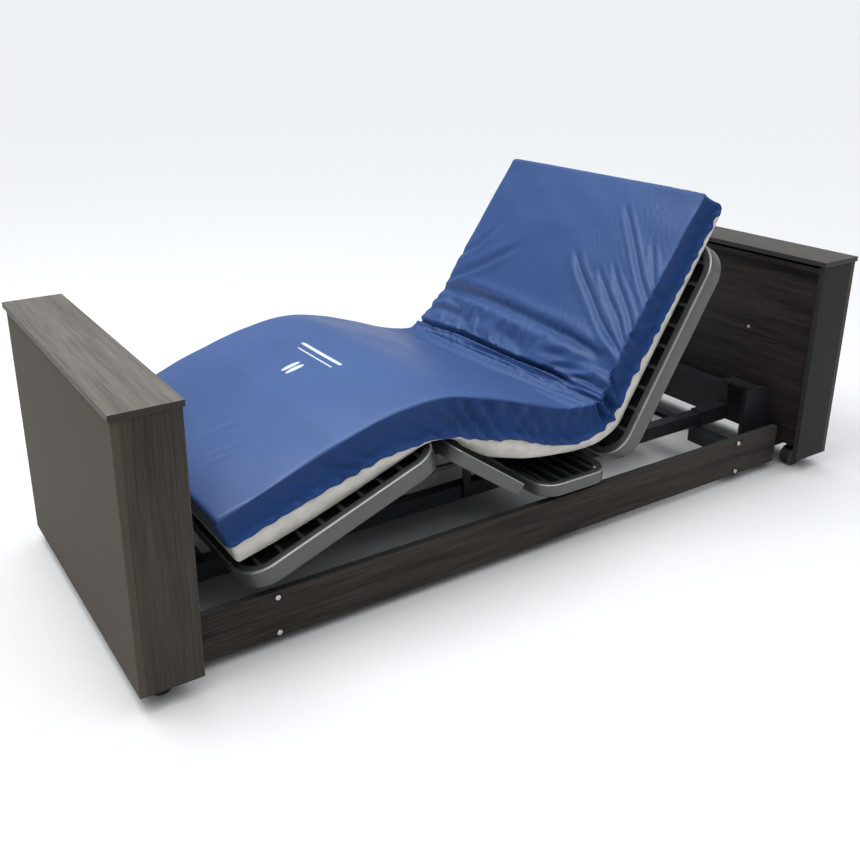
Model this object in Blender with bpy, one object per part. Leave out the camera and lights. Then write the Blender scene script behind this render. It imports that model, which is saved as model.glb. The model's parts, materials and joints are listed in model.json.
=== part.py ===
"""Adjustable hospital bed with two end boxes, side rails, a lifting deck and a four-part mattress.

Metres, +Z up. X runs along the bed from the foot end to the head end, and the floor is Z = 0.
The deck sections are modelled flat, each about its own hinge, and then turned to the raised pose.
"""
from math import cos, pi, radians, sin

import bmesh
import bpy
from mathutils import Vector

GAP = 0.0003                    # clearance between pieces that touch

# ---------------------------------------------------------------- driving dimensions
INNER_X = 1.1115                # half the distance between the end boxes
BOX_DEPTH = 0.162
BOX_HALF_WIDTH = 0.500
BOX_BOTTOM = 0.050
BOX_TOP = 0.753
PANEL = 0.018                   # board thickness
PLATE = 0.017                   # top plate thickness
OVERHANG = 0.005
RECESS = 0.027                  # inner board behind the side boards' edges
INNER_BOARD_BOTTOM = 0.088
OUTER_X = INNER_X + BOX_DEPTH
INNER_BOARD_X = INNER_X + RECESS

RAIL_OUTER_Y = 0.425
RAIL_THICKNESS = 0.022
RAIL_BOTTOM = 0.030
RAIL_TOP = 0.165
RAIL_END_X = INNER_X - 0.025
RAIL_INNER_Y = RAIL_OUTER_Y - RAIL_THICKNESS
BOLT_X = 0.878                  # rail bolts, from the middle of the bed
BOLT_HEIGHTS = (0.045, 0.150)

CASTER_X = INNER_X + 0.0785
CASTER_Y = 0.430
WHEEL_RADIUS = 0.034
WHEEL_TRAIL = 0.014

BEAM_Z = (0.090, 0.125)         # cross beam inside each end box
ARM_Z = (0.072, 0.086)          # arms that pass over the wheels and under the inner board

COLUMN_X = (1.0655, 1.1355)     # telescopic lift columns
COLUMN_Y = (0.280, 0.340)
COLUMN_WALL = 0.004
COLUMN_FIT = 0.0006
COLUMN_BOTTOM = 0.040
COLUMN_TOP = 0.258

TUBE_Y = (0.180, 0.220)         # long tubes of the deck frame
TUBE_Z = (0.132, 0.180)
SLEEVE_START_X = 0.920
CARRIAGE_X = 1.066
CROSS_BARS = (-0.98, -0.40, 0.07, 0.52, 0.88)

BACK_ANGLE = 59.4               # raised pose, degrees from flat
THIGH_ANGLE = 35.4
KNEE_ANGLE = 56.0

BACK_HINGE = (0.2988, 0.2765)   # X and Z of each hinge axis
THIGH_HINGE = (-0.1315, 0.271)
THIGH_LENGTH = 0.290            # hinge to knee axis

LOOP_HALF_WIDTH = 0.460
LOOP_BAR = 0.025
CALF_LOOP = (-0.638, -0.012)
CALF_TALL = 0.050
THIGH_LOOP = (-0.272, 0.023)
THIGH_TALL = 0.036
BACK_LOOP = (-0.0457, 0.6883)
BACK_TALL = 0.055
BACK_DROP = 0.015               # back loop centre line below its hinge
SEAT_LOOP = (-0.0235, 0.248)
SEAT_Z = (0.197, 0.233)

HINGE_RADIUS = 0.005
HINGE_BORE = 0.0056
LUG_Y = (0.2203, 0.2283)
ARM_Y = (0.2300, 0.2370)

ACTUATOR_Z = 0.172
BACK_ACTUATOR_Y = 0.060
KNEE_ACTUATOR_Y = -0.070
ROLLER_RADIUS = 0.009
BACK_LEVER_TIP = (-0.040, -0.0955)      # from the hinge, deck flat
THIGH_LEVER_TIP = (0.028, -0.097)

MATTRESS_HALF_WIDTH = 0.445
MATTRESS_THICK = 0.165
MATTRESS_LIFT = 0.005           # mattress above the loops


# ---------------------------------------------------------------- scene and materials
def clear_scene():
    for old in list(bpy.data.objects):
        bpy.data.objects.remove(old, do_unlink=True)


def material(name, colour, roughness, metallic=0.0):
    finish = bpy.data.materials.new(name)
    finish.use_nodes = True
    shader = finish.node_tree.nodes["Principled BSDF"]
    shader.inputs["Base Color"].default_value = (*colour, 1.0)
    shader.inputs["Roughness"].default_value = roughness
    shader.inputs["Metallic"].default_value = metallic
    return finish


clear_scene()
WOOD = material("wood_laminate", (0.060, 0.050, 0.042), 0.55)
CHARCOAL = material("charcoal_paint", (0.010, 0.012, 0.014), 0.45)
LOOP_GREY = material("loop_grey_paint", (0.085, 0.092, 0.088), 0.38, 0.4)
ZINC = material("zinc", (0.60, 0.60, 0.58), 0.30, 1.0)
BLUE = material("mattress_blue", (0.030, 0.080, 0.250), 0.50)
RUBBER = material("caster_rubber", (0.012, 0.012, 0.013), 0.60)
PLASTIC = material("black_plastic", (0.016, 0.017, 0.019), 0.50)


# ---------------------------------------------------------------- modelling helpers
def finish_object(name, mesh_data, finish, parent=None, smooth=False):
    mesh = bpy.data.meshes.new(name)
    bmesh.ops.recalc_face_normals(mesh_data, faces=mesh_data.faces)
    mesh_data.to_mesh(mesh)
    mesh_data.free()
    piece = bpy.data.objects.new(name, mesh)
    bpy.context.collection.objects.link(piece)
    if finish:
        mesh.materials.append(finish)
    if smooth:
        mesh.shade_smooth()
        mesh.set_sharp_from_angle(angle=radians(35))
    piece.parent = parent
    return piece


def empty(name, place, turn_y=0.0, parent=None):
    pivot = bpy.data.objects.new(name, None)
    bpy.context.collection.objects.link(pivot)
    pivot.location = place
    pivot.rotation_euler = (0.0, turn_y, 0.0)
    pivot.parent = parent
    return pivot


def box_mesh(x, y, z):
    """A box between the two limits of each axis."""
    data = bmesh.new()
    bmesh.ops.create_cube(data, size=1.0)
    for vert in data.verts:
        vert.co = Vector(((x[0] + x[1]) / 2 + vert.co.x * (x[1] - x[0]),
                          (y[0] + y[1]) / 2 + vert.co.y * (y[1] - y[0]),
                          (z[0] + z[1]) / 2 + vert.co.z * (z[1] - z[0])))
    return data


def box(name, x, y, z, finish, parent=None, bevel=0.0):
    piece = finish_object(name, box_mesh(x, y, z), finish, parent)
    if bevel:
        soften(piece, bevel)
    return piece


def soften(piece, width, segments=2):
    bevel = piece.modifiers.new("bevel", "BEVEL")
    bevel.width = width
    bevel.segments = segments
    bevel.limit_method = "ANGLE"
    return piece


def prism(name, outline, y, finish, parent=None):
    """An outline in X and Z, extruded between two Y limits."""
    data = bmesh.new()
    near = [data.verts.new((x, y[0], z)) for x, z in outline]
    far = [data.verts.new((x, y[1], z)) for x, z in outline]
    data.faces.new(near)
    data.faces.new(far[::-1])
    for i in range(len(outline)):
        j = (i + 1) % len(outline)
        data.faces.new((near[i], far[i], far[j], near[j]))
    return finish_object(name, data, finish, parent)


def cylinder(name, centre, radius, length, axis, finish, parent=None, sides=24):
    data = bmesh.new()
    bmesh.ops.create_cone(data, cap_ends=True, segments=sides,
                          radius1=radius, radius2=radius, depth=length)
    turn = {"X": Vector((1, 0, 0)), "Y": Vector((0, 1, 0)), "Z": Vector((0, 0, 1))}[axis]
    spin = Vector((0, 0, 1)).rotation_difference(turn).to_matrix()
    for vert in data.verts:
        vert.co = spin @ vert.co + Vector(centre)
    return finish_object(name, data, finish, parent, smooth=True)


def hide_tool(piece):
    piece.hide_render = True
    piece.display_type = "WIRE"


def combine(piece, others, operation):
    """Applies a Boolean of the other objects to the piece, and removes them."""
    for other in others:
        step = piece.modifiers.new(operation.lower(), "BOOLEAN")
        step.operation = operation
        step.object = other
        step.solver = "EXACT"
        hide_tool(other)
        depsgraph = bpy.context.evaluated_depsgraph_get()
        result = bpy.data.meshes.new_from_object(piece.evaluated_get(depsgraph))
        piece.modifiers.clear()
        piece.data = result
        bpy.data.objects.remove(other, do_unlink=True)
    return piece


def join(piece, *others):
    return combine(piece, others, "UNION")


def cut(piece, *others):
    return combine(piece, others, "DIFFERENCE")


def arc(cx, cy, radius, start, end, steps):
    return [(cx + radius * cos(start + (end - start) * i / steps),
             cy + radius * sin(start + (end - start) * i / steps)) for i in range(steps + 1)]


def rounded_outline(x, half_width, radius, steps=6):
    """A rectangle with round corners in X and Y, counter-clockwise from the low corner."""
    corners = ((x[0] + radius, -half_width + radius, pi), (x[1] - radius, -half_width + radius, 1.5 * pi),
               (x[1] - radius, half_width - radius, 0.0), (x[0] + radius, half_width - radius, 0.5 * pi))
    points = []
    for cx, cy, start in corners:
        points += arc(cx, cy, radius, start, start + pi / 2, steps)
    return points


def loop_frame(name, x, z, radius, finish, parent=None, half_width=LOOP_HALF_WIDTH):
    """A closed rectangular-tube loop with round corners, lying flat."""
    data = bmesh.new()
    outer = rounded_outline(x, half_width, radius)
    inner = rounded_outline((x[0] + LOOP_BAR, x[1] - LOOP_BAR), half_width - LOOP_BAR, radius - LOOP_BAR)
    rings = [[data.verts.new((px, py, level)) for px, py in outline]
             for outline in (outer, inner) for level in z]
    low_out, high_out, low_in, high_in = rings
    count = len(outer)
    for i in range(count):
        j = (i + 1) % count
        data.faces.new((low_out[i], low_out[j], high_out[j], high_out[i]))
        data.faces.new((low_in[j], low_in[i], high_in[i], high_in[j]))
        data.faces.new((high_out[i], high_out[j], high_in[j], high_in[i]))
        data.faces.new((low_out[j], low_out[i], low_in[i], low_in[j]))
    return finish_object(name, data, finish, parent)


def slats(places, z, half_width=LOOP_HALF_WIDTH - 0.010, bar=0.010):
    return [box("slat", (x - bar / 2, x + bar / 2), (-half_width, half_width), z, None) for x in places]


def spaced(start, end, count):
    return [start + (end - start) * (i + 0.5) / count for i in range(count)]


def mirrored(limits, side):
    """The limits on one side of the bed, lowest first; side is -1 or 1."""
    return tuple(sorted((limits[0] * side, limits[1] * side)))


# ---------------------------------------------------------------- end boxes
def end_box(end, sign):
    """Four boards and a top plate; sign is -1 at the foot end and 1 at the head end."""
    inner_face = mirrored((INNER_BOARD_X, INNER_BOARD_X + PANEL), sign)
    outer_face = mirrored((OUTER_X - PANEL, OUTER_X), sign)
    far_reveal = 0.022 if end == "foot" else 0.0
    box(f"{end}_outer_board", outer_face, (-BOX_HALF_WIDTH, BOX_HALF_WIDTH - far_reveal),
        (BOX_BOTTOM, BOX_TOP), WOOD)
    inside = BOX_HALF_WIDTH - PANEL - GAP
    box(f"{end}_inner_board", inner_face, (-inside, inside), (INNER_BOARD_BOTTOM, BOX_TOP), WOOD)
    for name, side in (("near", -1), ("far", 1)):
        box(f"{end}_{name}_side_board", mirrored((INNER_X, OUTER_X - PANEL - GAP), sign),
            mirrored((BOX_HALF_WIDTH - PANEL, BOX_HALF_WIDTH), side), (BOX_BOTTOM, BOX_TOP), WOOD)
    edge = BOX_HALF_WIDTH + OVERHANG
    box(f"{end}_top_plate", mirrored((INNER_X - OVERHANG, OUTER_X + OVERHANG), sign), (-edge, edge),
        (BOX_TOP + GAP, BOX_TOP + PLATE), WOOD, bevel=0.0015)


def head_cornice():
    """The moulding under the head box's top plate, in front of the inner board."""
    inside = BOX_HALF_WIDTH - PANEL - GAP
    box("head_cornice", (INNER_X + 0.002, INNER_BOARD_X - GAP), (-inside, inside), (0.727, 0.744), WOOD)


# ---------------------------------------------------------------- base frames, rails and columns
def base_frame(end, sign):
    """The welded frame under each end: cross beam, arms to the columns, and plates for the rails."""
    beam_x = (CASTER_X - 0.027, CASTER_X + 0.023)
    frame = box(f"{end}_base_frame", mirrored(beam_x, sign), (-0.470, 0.470), BEAM_Z, CHARCOAL)
    pieces = []
    for side in (-1, 1):
        pieces.append(box("column_arm", mirrored((COLUMN_X[1] + GAP, beam_x[1] - 0.001), sign),
                          mirrored((COLUMN_Y[0] + 0.008, COLUMN_Y[1] - 0.008), side),
                          (ARM_Z[0], BEAM_Z[0] + 0.010), None))
        pieces.append(box("rail_arm", mirrored((BOLT_X - 0.030, beam_x[1] - 0.002), sign),
                          mirrored((0.366, RAIL_INNER_Y - GAP), side), ARM_Z, None))
        pieces.append(box("arm_riser", mirrored((beam_x[0] + 0.002, beam_x[1] - 0.003), sign),
                          mirrored((0.368, RAIL_INNER_Y - 0.002), side),
                          (ARM_Z[1] - 0.004, BEAM_Z[0] + 0.020),
                          None))
        pieces.append(box("rail_plate", mirrored((BOLT_X - 0.032, BOLT_X + 0.032), sign),
                          mirrored((RAIL_INNER_Y - 0.008, RAIL_INNER_Y - GAP), side),
                          (0.036, 0.159), None))
        if sign > 0:
            pieces.append(box("rail_stub", (BOLT_X + 0.001, BOLT_X + 0.060),
                              mirrored((0.210, RAIL_INNER_Y - 0.004), side), (0.080, 0.124), None))
    join(frame, *pieces)
    room = box("arm_room", mirrored((INNER_BOARD_X - 0.012, INNER_BOARD_X + PANEL + 0.004), sign),
               (-0.5, 0.5), (ARM_Z[1], 0.2), None)
    cut(frame, room)
    for side in (-1, 1):
        stem = cylinder("stem_hole", (sign * CASTER_X, side * CASTER_Y, 0.11), 0.0063, 0.1, "Z", None,
                        sides=16)
        cut(frame, stem)
        for height in BOLT_HEIGHTS:
            cut(frame, cylinder("bolt_hole", (sign * BOLT_X, side * RAIL_INNER_Y, height),
                                0.0053, 0.06, "Y", None, sides=12))


def side_rail(name, side):
    rail = box(f"side_rail_{name}", (-RAIL_END_X, RAIL_END_X), mirrored((RAIL_INNER_Y, RAIL_OUTER_Y), side),
               (RAIL_BOTTOM, RAIL_TOP), WOOD)
    for sign in (-1, 1):
        for height in BOLT_HEIGHTS:
            cut(rail, cylinder("bolt_hole", (sign * BOLT_X, side * RAIL_INNER_Y, height),
                               0.0053, 0.08, "Y", None, sides=12))


def rail_bolt(name, sign, side, height):
    """A pan-head bolt through the rail into the base frame's plate."""
    x, shank_y, head_y = sign * BOLT_X, side * (RAIL_OUTER_Y - 0.0165), side * (RAIL_OUTER_Y + 0.0025)
    shank = cylinder(name, (x, shank_y, height), 0.0049, 0.035, "Y", ZINC, sides=12)
    head = cylinder("head", (x, head_y, height), 0.0075, 0.0044, "Y", None, sides=16)
    join(shank, head)


def column_stage(name, step, z, finish):
    """One hollow rectangular stage of a column; each step fits inside the one before."""
    inset = step * (COLUMN_WALL + COLUMN_FIT)
    end, side_name = name.split("_")[0], name.split("_")[1]
    sign = 1 if end == "head" else -1
    side = -1 if side_name == "near" else 1
    x = (COLUMN_X[0] + inset, COLUMN_X[1] - inset)
    y = (COLUMN_Y[0] + inset, COLUMN_Y[1] - inset)
    stage = box(name, mirrored(x, sign), mirrored(y, side), z, finish)
    cut(stage, box("hollow", mirrored((x[0] + COLUMN_WALL, x[1] - COLUMN_WALL), sign),
                   mirrored((y[0] + COLUMN_WALL, y[1] - COLUMN_WALL), side),
                   (z[0] - 0.01, z[1] + 0.01), None))
    return stage


def shield_plate(side):
    """The upright plate beside a head column, with one round top corner."""
    start, end, top, radius = 1.003, 1.1365, 0.290, 0.050
    outline = [(start, 0.045), (end, 0.045)]
    outline += arc(end - radius, top - radius, radius, 0.0, pi / 2, 8)
    outline += [(start, top)]
    return prism("shield", outline, mirrored((COLUMN_Y[1] - 0.001, COLUMN_Y[1] + 0.005), side), None)


def lift_columns():
    for end in ("foot", "head"):
        for name, side in (("near", -1), ("far", 1)):
            housing = column_stage(f"{end}_{name}_column_housing", 0, (COLUMN_BOTTOM, COLUMN_TOP), CHARCOAL)
            if end == "head":
                join(housing, shield_plate(side))
            column_stage(f"{end}_{name}_column_mid", 1, (COLUMN_BOTTOM + 0.005, COLUMN_TOP + 0.002), CHARCOAL)


# ---------------------------------------------------------------- casters
def caster(name, sign, side):
    """A swivel housing with its stem, and a twin wheel on its own axle."""
    x, y = sign * CASTER_X, side * CASTER_Y
    swivel = empty(f"{name}_swivel", (x, y, 0.0))
    stem = cylinder(f"{name}_housing", (0, 0, 0.0985), 0.0060, 0.041, "Z", PLASTIC, swivel, sides=16)
    hood = cylinder("hood", (-WHEEL_TRAIL, 0, WHEEL_RADIUS), WHEEL_RADIUS + 0.002, 0.010, "Y", None, sides=24)
    cap = cylinder("cap", (0, 0, 0.0795), 0.016, 0.018, "Z", None, sides=20)
    neck = box("neck", (-WHEEL_TRAIL - 0.010, 0.012), (-0.0045, 0.0045), (0.055, 0.078), None)
    for tool in (hood, cap, neck):
        tool.parent = swivel
    trim = box("trim", (-0.1, 0.1), (-0.02, 0.02), (-0.02, 0.024), None, swivel)
    bore = cylinder("bore", (-WHEEL_TRAIL, 0, WHEEL_RADIUS), 0.0066, 0.05, "Y", None, swivel, sides=16)
    join(stem, hood, cap, neck)
    cut(stem, trim, bore)
    wheel = cylinder(f"{name}_wheel", (0, 0, 0), 0.0060, 0.040, "Y", RUBBER, swivel, sides=16)
    wheel.location = (-WHEEL_TRAIL, 0, WHEEL_RADIUS)
    for half in (-1, 1):
        tread = cylinder("tread", (0, half * 0.0125, 0), WHEEL_RADIUS, 0.013, "Y", None, swivel, sides=28)
        tread.location = wheel.location
        join(wheel, tread)


# ---------------------------------------------------------------- deck frame
def lug(hinge, side, reach=0.013):
    """An upright plate on the outside of a long tube, with a round head about the hinge."""
    x, z = hinge
    outline = [(x - reach, TUBE_Z[0] + 0.006), (x + reach, TUBE_Z[0] + 0.006)]
    outline += arc(x, z, reach, 0.0, pi, 8)
    return prism("lug", outline, mirrored((TUBE_Y[1] - 0.001, LUG_Y[1]), side), None)


def swan_neck_lug(hinge, side, reach=0.0115):
    """A lug that reaches its hinge from the head end, clear of the back section's end bar as it turns."""
    x, z = hinge
    outline = [(x + 0.040, TUBE_Z[0] + 0.006), (x + 0.075, TUBE_Z[0] + 0.006), (x + 0.062, z - 0.026)]
    outline += arc(x, z, reach, radians(-18), radians(292), 14)
    outline.append((x + 0.036, z - 0.036))
    return prism("lug", outline, mirrored((TUBE_Y[1] - 0.001, LUG_Y[1]), side), None)


def hinge_bore(hinge):
    return cylinder("hinge_bore", (hinge[0], 0, hinge[1]), HINGE_BORE, 1.0, "Y", None, sides=16)


def deck_frame():
    frame = box("deck_frame", (-CARRIAGE_X + GAP, CARRIAGE_X - GAP), mirrored(TUBE_Y, -1), TUBE_Z, CHARCOAL)
    pieces = [box("far_tube", (-CARRIAGE_X + GAP, CARRIAGE_X - GAP), TUBE_Y, TUBE_Z, None)]
    for x in CROSS_BARS:
        pieces.append(box("cross_bar", (x - 0.020, x + 0.020), (-TUBE_Y[1] + 0.002, TUBE_Y[1] - 0.002),
                          (TUBE_Z[0] + 0.001, 0.150), None))
    for side in (-1, 1):
        for sign in (-1, 1):
            pieces.append(box("sleeve", mirrored((SLEEVE_START_X, CARRIAGE_X - 0.001), sign),
                              mirrored((TUBE_Y[0] - 0.003, TUBE_Y[1] + 0.004), side),
                              (TUBE_Z[0] - 0.003, TUBE_Z[1] + 0.004), None))
        pieces += [swan_neck_lug(BACK_HINGE, side), lug(THIGH_HINGE, side)]
        for x in (0.010, 0.205):
            pieces.append(box("seat_post", (x, x + 0.030),
                              mirrored((TUBE_Y[0] + 0.004, TUBE_Y[1] - 0.004), side),
                              (TUBE_Z[1] - 0.004, SEAT_Z[0] + 0.003), None))
    rear_lugs = ((-0.392, BACK_ACTUATOR_Y), (0.512, KNEE_ACTUATOR_Y))
    for x, y in rear_lugs:
        pieces.append(box("actuator_lug", (x, x + 0.012), (y - 0.018, y + 0.018), (0.145, 0.194), None))
    join(frame, *pieces)
    cut(frame, hinge_bore(BACK_HINGE), hinge_bore(THIGH_HINGE))


def seat_frame():
    seat = loop_frame("seat_frame", SEAT_LOOP, SEAT_Z, 0.070, LOOP_GREY)
    ribs = slats(spaced(SEAT_LOOP[0] + LOOP_BAR, SEAT_LOOP[1] - LOOP_BAR, 5),
                 (SEAT_Z[1] - 0.013, SEAT_Z[1] - 0.003))
    join(seat, *ribs)
    for side in (-1, 1):
        for x in (0.010, 0.205):
            cut(seat, box("post_room", (x - 0.0006, x + 0.0306),
                          mirrored((TUBE_Y[0] + 0.003, TUBE_Y[1] - 0.003), side),
                          (SEAT_Z[0] - 0.02, SEAT_Z[0] + 0.0036), None))


def carriage(end, sign):
    """The cross plate between the long tubes' ends, with the arms and inner column stages that lift it."""
    x0 = CARRIAGE_X
    plate = box(f"{end}_carriage", mirrored((x0, x0 + 0.005), sign), (-0.215, 0.215), (0.128, 0.2515),
                CHARCOAL)
    pieces = [box("flange", mirrored((x0 + 0.001, x0 + 0.045), sign), (-0.214, 0.214), (0.2465, 0.2525),
                  None)]
    inset = 2 * (COLUMN_WALL + COLUMN_FIT)
    arm_z = (COLUMN_TOP + 0.004, COLUMN_TOP + 0.014)
    for side in (-1, 1):
        pieces.append(box("arm", mirrored((x0 + 0.0005, COLUMN_X[1] - 0.0135), sign),
                          mirrored((0.185, COLUMN_Y[1] - 0.003), side), arm_z, None))
        pieces.append(box("web", mirrored((x0 + 0.002, x0 + 0.006), sign),
                          mirrored((0.187, 0.2135), side), (0.245, arm_z[0] + 0.004), None))
        pieces.append(box("inner_stage", mirrored((COLUMN_X[0] + inset, COLUMN_X[1] - inset), sign),
                          mirrored((COLUMN_Y[0] + inset, COLUMN_Y[1] - inset), side),
                          (COLUMN_BOTTOM + 0.010, arm_z[0] + 0.003), None))
    join(plate, *pieces)


def hinge_shaft(name, hinge, half_length, parent=None):
    cylinder(name, (hinge[0], 0, hinge[1]), HINGE_RADIUS, 2 * half_length, "Y", ZINC, parent, sides=16)


# ---------------------------------------------------------------- raised sections
def hinge_arms(reach, drop, height):
    """Two plates from a section's cross bar to its hinge, about the hinge."""
    arms = []
    for side in (-1, 1):
        arms.append(box("hinge_arm", (min(reach, 0.0), max(reach, 0.0)), mirrored(ARM_Y, side),
                        (-drop, height), None))
        arms.append(cylinder("hinge_eye", (0, side * sum(ARM_Y) / 2, 0), 0.0115, ARM_Y[1] - ARM_Y[0],
                             "Y", None, sides=20))
    return arms


def attach(pieces, parent):
    for piece in pieces:
        piece.parent = parent
    return pieces


def lever(start, tip, y, width=0.016, thick=0.012):
    """A flat bar in the XZ plane from start to tip, with a round end."""
    direction = (Vector(tip) - Vector(start)).normalized()
    normal = Vector((-direction.y, direction.x)) * width / 2
    outline = [tuple(Vector(start) + normal), tuple(Vector(start) - normal),
               tuple(Vector(tip) - normal), tuple(Vector(tip) + normal)]
    return prism("lever", outline, (y - thick / 2, y + thick / 2), None)


def roller(tip, y):
    return cylinder("roller", (tip[0], y, tip[1]), ROLLER_RADIUS, 0.022, "Y", None, sides=20)


def thigh_section(pivot):
    z = (-THIGH_TALL / 2, THIGH_TALL / 2)
    frame = loop_frame("thigh_frame", (THIGH_LOOP[0], THIGH_LOOP[1] + 0.060), z, 0.040, LOOP_GREY, pivot)
    open_end = box("open_end", (THIGH_LOOP[1], 0.2), (-0.5, 0.5), (-0.1, 0.1), None)
    cut(frame, *attach([open_end], pivot))
    pieces = slats([-0.205, -0.150, -0.095], (0.005, 0.015))
    pieces.append(box("hinge_bar", (-0.047, -0.027), (-0.452, 0.452), (-0.011, 0.011), None))
    pieces += hinge_arms(-0.040, 0.010, 0.010)
    pieces += [lever((-0.036, -0.002), THIGH_LEVER_TIP, KNEE_ACTUATOR_Y),
               roller(THIGH_LEVER_TIP, KNEE_ACTUATOR_Y)]
    for side in (-1, 1):
        pieces.append(box("knee_arm", (-THIGH_LENGTH, THIGH_LOOP[0] + 0.010), mirrored((0.297, 0.303), side),
                          (-0.0100, 0.0100), None))
        pieces.append(cylinder("knee_eye", (-THIGH_LENGTH, side * 0.300, 0), 0.0105, 0.006, "Y", None,
                               sides=20))
    join(frame, *attach(pieces, pivot))
    bores = [hinge_bore((0, 0)), hinge_bore((-THIGH_LENGTH, 0))]
    cut(frame, *attach(bores, pivot))


def calf_section(pivot):
    z = (-CALF_TALL / 2, CALF_TALL / 2)
    frame = loop_frame("calf_frame", CALF_LOOP, z, 0.085, LOOP_GREY, pivot)
    pieces = slats(spaced(CALF_LOOP[0] + LOOP_BAR, CALF_LOOP[1] - LOOP_BAR, 9), (0.011, 0.022))
    for side in (-1, 1):
        pieces.append(box("knee_arm", (CALF_LOOP[1] - 0.010, 0.0), mirrored((0.3045, 0.3105), side),
                          (-0.0100, 0.0100), None))
        pieces.append(cylinder("knee_eye", (0, side * 0.3075, 0), 0.0105, 0.006, "Y", None, sides=20))
    join(frame, *attach(pieces, pivot))
    cut(frame, *attach([hinge_bore((0, 0))], pivot))
    for name, side in (("near", -1), ("far", 1)):
        outline = [(CALF_LOOP[0] + 0.004, z[0] - GAP), (CALF_LOOP[0] + 0.034, z[0] - GAP),
                   (CALF_LOOP[0] + 0.012, z[0] - 0.020)]
        prism(f"calf_stop_{name}", outline, mirrored((0.330, 0.342), side), PLASTIC, pivot)


def back_section(pivot):
    z = (-BACK_DROP - BACK_TALL / 2, -BACK_DROP + BACK_TALL / 2)
    frame = loop_frame("back_frame", BACK_LOOP, z, 0.100, LOOP_GREY, pivot)
    pieces = slats(spaced(0.025, BACK_LOOP[1] - LOOP_BAR, 9), (z[1] - 0.014, z[1] - 0.003))
    pieces += hinge_arms(BACK_LOOP[0] + 0.006, 0.010, 0.010)
    pieces += [lever((-0.026, -0.040), BACK_LEVER_TIP, BACK_ACTUATOR_Y, width=0.010),
               roller(BACK_LEVER_TIP, BACK_ACTUATOR_Y)]
    join(frame, *attach(pieces, pivot))
    cut(frame, *attach([hinge_bore((0, 0))], pivot))


# ---------------------------------------------------------------- actuators and control box
def actuator(name, y, closed_x, open_x, motor_x, rod_inner_x, rod_end_x, pad_side):
    """A hollow actuator with its motor housing, and a rod with a push pad that slides in it."""
    ends = sorted((closed_x, open_x))
    body = cylinder(f"{name}_actuator", (sum(ends) / 2, y, ACTUATOR_Z), 0.020, ends[1] - ends[0], "X", PLASTIC)
    motor = box("motor", motor_x, (y - 0.030, y + 0.030), (0.098, 0.190), None)
    soften(motor, 0.006)
    join(body, motor)
    depth = rod_inner_x + (0.115 if closed_x > open_x else -0.115)
    bore_ends = sorted((depth, open_x + (open_x - closed_x) * 0.1))
    cut(body, cylinder("bore", (sum(bore_ends) / 2, y, ACTUATOR_Z), 0.0105, bore_ends[1] - bore_ends[0], "X",
                       None, sides=20))
    rod_ends = sorted((rod_inner_x, rod_end_x))
    rod = cylinder(f"{name}_actuator_rod", (sum(rod_ends) / 2, y, ACTUATOR_Z), 0.0095,
                   rod_ends[1] - rod_ends[0], "X", ZINC, sides=20)
    pad_ends = sorted((rod_end_x - pad_side * 0.008, rod_end_x))
    join(rod, box("pad", pad_ends, (y - 0.013, y + 0.013), (0.152, 0.187), None))


def turned(point, degrees):
    """A point turned counter-clockwise in X and Z."""
    angle = radians(degrees)
    return (point[0] * cos(angle) - point[1] * sin(angle), point[0] * sin(angle) + point[1] * cos(angle))


def actuators():
    push_gap = 0.0012
    back_tip = turned(BACK_LEVER_TIP, BACK_ANGLE)
    back_pad = BACK_HINGE[0] + back_tip[0] - ROLLER_RADIUS - push_gap
    actuator("back", BACK_ACTUATOR_Y, -0.380 + GAP, 0.130, (-0.350, -0.250), -0.080, back_pad, 1)
    knee_tip = turned(THIGH_LEVER_TIP, -THIGH_ANGLE)
    knee_pad = THIGH_HINGE[0] + knee_tip[0] + ROLLER_RADIUS + push_gap
    actuator("knee", KNEE_ACTUATOR_Y, 0.512 - GAP, 0.100, (0.380, 0.480), 0.190, knee_pad, -1)
    control = box("control_box", (0.600, 0.820), (-0.090, 0.090), (0.100, 0.155), PLASTIC)
    soften(control, 0.006)


# ---------------------------------------------------------------- mattress
def mattress_part(name, bottom, slope_low, slope_high, base, parent=None):
    """A mattress block; each end leans back by its slope, so that the parts clear each other."""
    low, high = bottom
    top = base + MATTRESS_THICK
    outline = [(low, base), (high, base), (high - slope_high * MATTRESS_THICK, top),
               (low + slope_low * MATTRESS_THICK, top)]
    block = prism(name, outline, (-MATTRESS_HALF_WIDTH, MATTRESS_HALF_WIDTH), BLUE, parent)
    soften(block, 0.018, 2)
    return block


def mattress(thigh_pivot, calf_pivot, back_pivot):
    calf_base = CALF_TALL / 2 + MATTRESS_LIFT
    thigh_base = calf_base
    back_base = -BACK_DROP + BACK_TALL / 2 + MATTRESS_LIFT
    flat_level = THIGH_HINGE[1] + thigh_base
    back_lean, thigh_lean = 0.64, 0.37
    mattress_part("mattress_calf", (-0.647, -0.004), 0.0, 0.0, calf_base, calf_pivot)
    mattress_part("mattress_thigh", (-THIGH_LENGTH + 0.004, -0.014), 0.0, thigh_lean, thigh_base, thigh_pivot)
    mattress_part("mattress_seat", (THIGH_HINGE[0] + 0.014, BACK_HINGE[0] - 0.014), thigh_lean, back_lean,
                  flat_level)
    mattress_part("mattress_back", (0.014, 0.782), back_lean, 0.0, back_base, back_pivot)


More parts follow.
